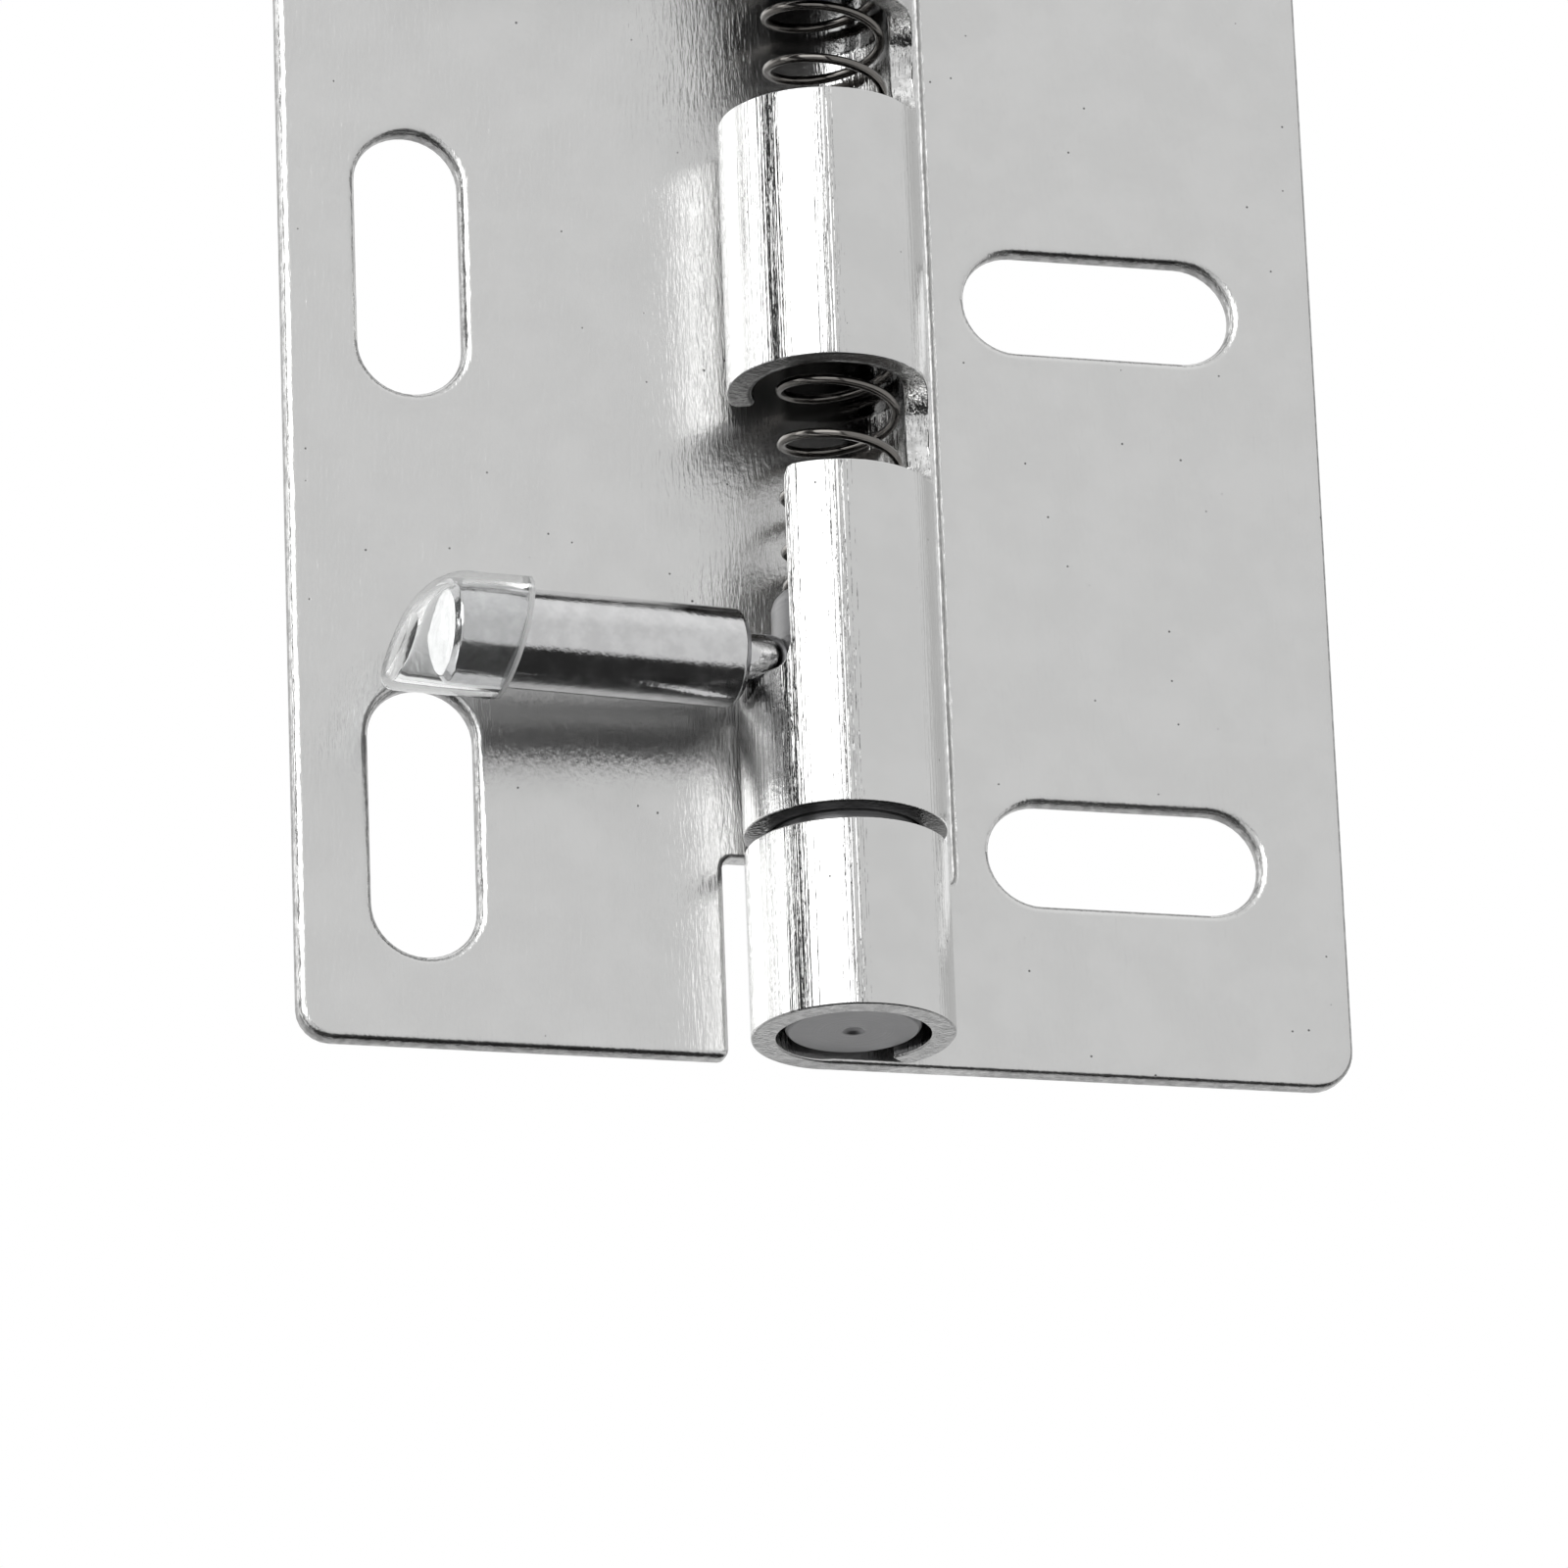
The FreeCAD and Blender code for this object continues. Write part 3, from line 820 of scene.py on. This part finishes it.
def makeBackdropMaterial():
    material, tree, shader = newMaterial("paleBackdrop")
    shader.inputs["Base Color"].default_value = stage["colour"]
    shader.inputs["Roughness"].default_value = 0.9
    path = addNode(tree, "ShaderNodeLightPath").outputs
    through = mathNode(tree, "MAXIMUM", path["Is Glossy Ray"], path["Is Transmission Ray"])
    seen = mathNode(tree, "MAXIMUM", path["Is Camera Ray"], through)
    white = addNode(tree, "ShaderNodeEmission", {"Color": (1, 1, 1, 1), "Strength": 1.0}).outputs[0]
    mix = addNode(tree, "ShaderNodeMixShader", {0: seen})
    tree.links.new(shader.outputs[0], mix.inputs[1])
    tree.links.new(white, mix.inputs[2])
    tree.links.new(mix.outputs[0], tree.nodes["Material Output"].inputs["Surface"])
    return material


def makeStagePlane(name, depth, turn, place, material):
    bm = bmesh.new()
    bmesh.ops.create_grid(bm, x_segments=1, y_segments=1, size=0.5)
    bmesh.ops.scale(bm, verts=bm.verts[:], vec=(stage["width"], depth, 1))
    bmesh.ops.rotate(bm, verts=bm.verts[:], cent=(0, 0, 0), matrix=Matrix.Rotation(turn, 3, "X"))
    bmesh.ops.translate(bm, verts=bm.verts[:], vec=place)
    plane = bpy.data.objects.new(name, meshFrom(bm, name))
    bpy.context.scene.collection.objects.link(plane)
    plane.data.materials.append(material)


def makeFloorMaterial():
    material, tree, shader = newMaterial("paleFloor")
    place = addNode(tree, "ShaderNodeTexCoord").outputs["Object"]
    tint = mixedTone(tree, noise(tree, place, 3.0), stage["floorColour"], stage["colour"])
    tree.links.new(tint, shader.inputs["Base Color"])
    shader.inputs["Roughness"].default_value = 0.85
    return material


floorDepth = stage["backdropY"] - stage["floorFront"]
floorPlace = (0, stage["floorFront"] + floorDepth / 2, stage["floorZ"])
backdropPlace = (0, stage["backdropY"], stage["floorZ"] + stage["height"] / 2)
makeStagePlane("backdrop", stage["height"], math.pi / 2, backdropPlace, makeBackdropMaterial())
makeStagePlane("floor", floorDepth, 0.0, floorPlace, makeFloorMaterial())

studio = {
    "frontLevel": 0.74,
    "topLevel": 0.9,
    "underLevel": 0.03,
    "underRise": (-0.68, -0.5),    # heights on the unit sphere between which the room brightens
    "topRise": (0.35, 0.9),
    "darkGaps": ((8.0, 17.5), (61.0, 84.0)),   # beside the softboxes, in degrees left of the viewer
    "gapEase": 0.15,               # share of a gap's width
    "gapDark": 0.95,
    "softboxDistance": 1.2,
    "softboxes": {                 # azimuth runs from the viewer's side towards the left
        "keySoftbox": {"azimuth": 38, "elevation": 22, "width": 1.0, "height": 0.9, "radiance": 1.9},
        "leftStrip": {"azimuth": 110, "elevation": 20, "width": 1.0, "height": 1.0, "radiance": 1.38},
    },
}


def makeWorld():
    world = bpy.data.worlds.new("studio")
    bpy.context.scene.world = world
    world.use_nodes = True
    tree = world.node_tree
    direction = addNode(tree, "ShaderNodeTexCoord").outputs["Generated"]
    axes = addNode(tree, "ShaderNodeSeparateXYZ", {0: direction}).outputs
    upward = axes[2]
    leftward = mathNode(tree, "ARCTAN2", times(tree, axes[0], -1.0), times(tree, axes[1], -1.0))
    low = spread(tree, upward, *studio["underRise"], studio["underLevel"], studio["frontLevel"])
    high = spread(tree, upward, *studio["topRise"], 0.0, studio["topLevel"] - studio["frontLevel"])
    level = mathNode(tree, "ADD", low, high)
    for start, end in studio["darkGaps"]:
        start, end = math.radians(start), math.radians(end)
        ease = (end - start) * studio["gapEase"]
        gap = times(tree, spread(tree, leftward, start, start + ease), spread(tree, leftward, end, end - ease))
        level = times(tree, level, inverse(tree, times(tree, gap, studio["gapDark"])))
    tree.links.new(level, tree.nodes["Background"].inputs["Strength"])
    tree.nodes["Background"].inputs["Color"].default_value = (1, 1, 1, 1)


def addSoftbox(name, box):
    light = bpy.data.lights.new(name, "AREA")
    light.shape = "RECTANGLE"
    light.size = box["width"]
    light.size_y = box["height"]
    light.energy = box["radiance"] * math.pi * box["width"] * box["height"]
    lamp = bpy.data.objects.new(name, light)
    turn, rise = math.radians(box["azimuth"]), math.radians(box["elevation"])
    outward = Vector((-math.sin(turn) * math.cos(rise), -math.cos(turn) * math.cos(rise), math.sin(rise)))
    lamp.location = outward * studio["softboxDistance"]
    lamp.rotation_euler = outward.to_track_quat("Z", "Y").to_euler()
    bpy.context.scene.collection.objects.link(lamp)


makeWorld()
for name, box in studio["softboxes"].items():
    addSoftbox(name, box)

view = {
    "place": (-0.16628, -0.60166, -0.26620),
    "turn": (110.43, 2.066, -14.354),
    "lens": 256.74,
    "sensor": 36.0,
    "clipStart": 0.01,
}


def makeCamera():
    camera = bpy.data.cameras.new("photoView")
    camera.lens = view["lens"]
    camera.sensor_width = view["sensor"]
    camera.clip_start = view["clipStart"]
    rig = bpy.data.objects.new("photoView", camera)
    rig.location = view["place"]
    rig.rotation_euler = [math.radians(angle) for angle in view["turn"]]
    bpy.context.scene.collection.objects.link(rig)
    bpy.context.scene.camera = rig


makeCamera()
bpy.context.scene.view_settings.view_transform = "Standard"
print("stage, light and camera set")
